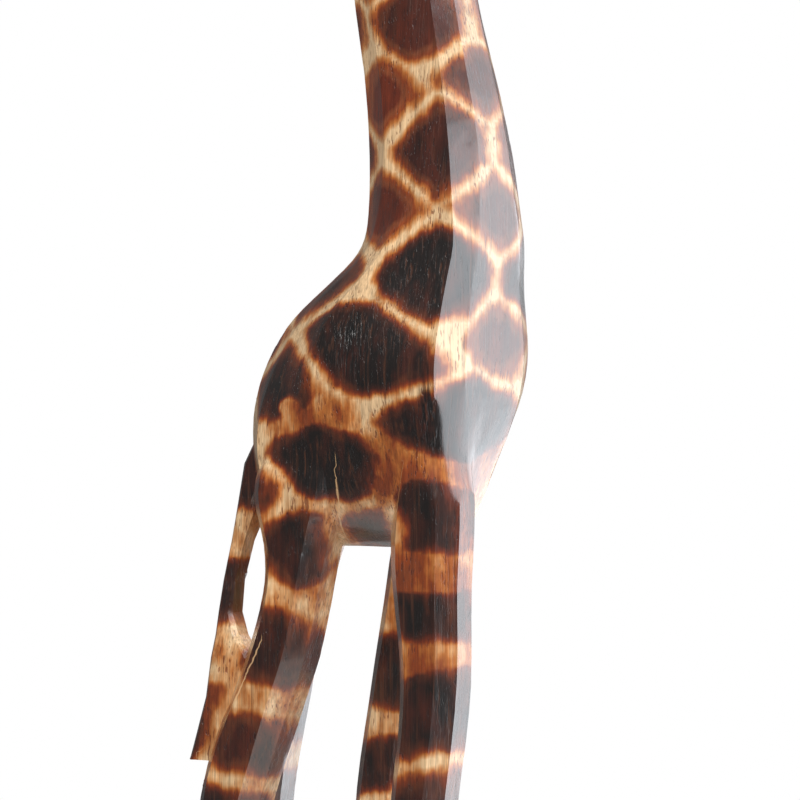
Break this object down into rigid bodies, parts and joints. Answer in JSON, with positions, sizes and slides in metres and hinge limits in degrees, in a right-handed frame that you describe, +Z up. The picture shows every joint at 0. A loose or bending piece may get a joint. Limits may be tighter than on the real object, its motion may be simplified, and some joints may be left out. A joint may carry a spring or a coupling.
{
  "type": "carved wooden giraffe statue",
  "caption": "Tall slender standing giraffe carved in light wood, scorched with a patch pattern and lacquered, with a long neck, striding legs and a tail resting on one hind leg.",
  "frame": {"origin": "on the surface that the statue stands on, below the centre of its bounding box", "axes": "+X towards the muzzle, +Y to the giraffe's left, +Z up along the log"},
  "size_m": [0.2398, 0.1052, 1.0002],
  "materials": {
    "burnt_wood": "gloss lacquer",
    "head_wood": "gloss lacquer",
    "horn_wood": "gloss lacquer",
    "ear_wood": "gloss lacquer",
    "dowel_wood": "raw",
    "eye_bead": "gloss",
    "felt": "matt"
  },
  "bodies": {
    "root": {"carved_body": "burnt_wood", "head": "head_wood", "neck_dowel": "dowel_wood", "horn_right": "horn_wood", "ear_right": "ear_wood", "eye_right": "eye_bead", "horn_left": "horn_wood", "ear_left": "ear_wood", "eye_left": "eye_bead", "foot_pad_front_right": "felt", "foot_pad_front_left": "felt", "foot_pad_hind_right": "felt", "foot_pad_hind_left": "felt"}
  },
  "joints": []
}
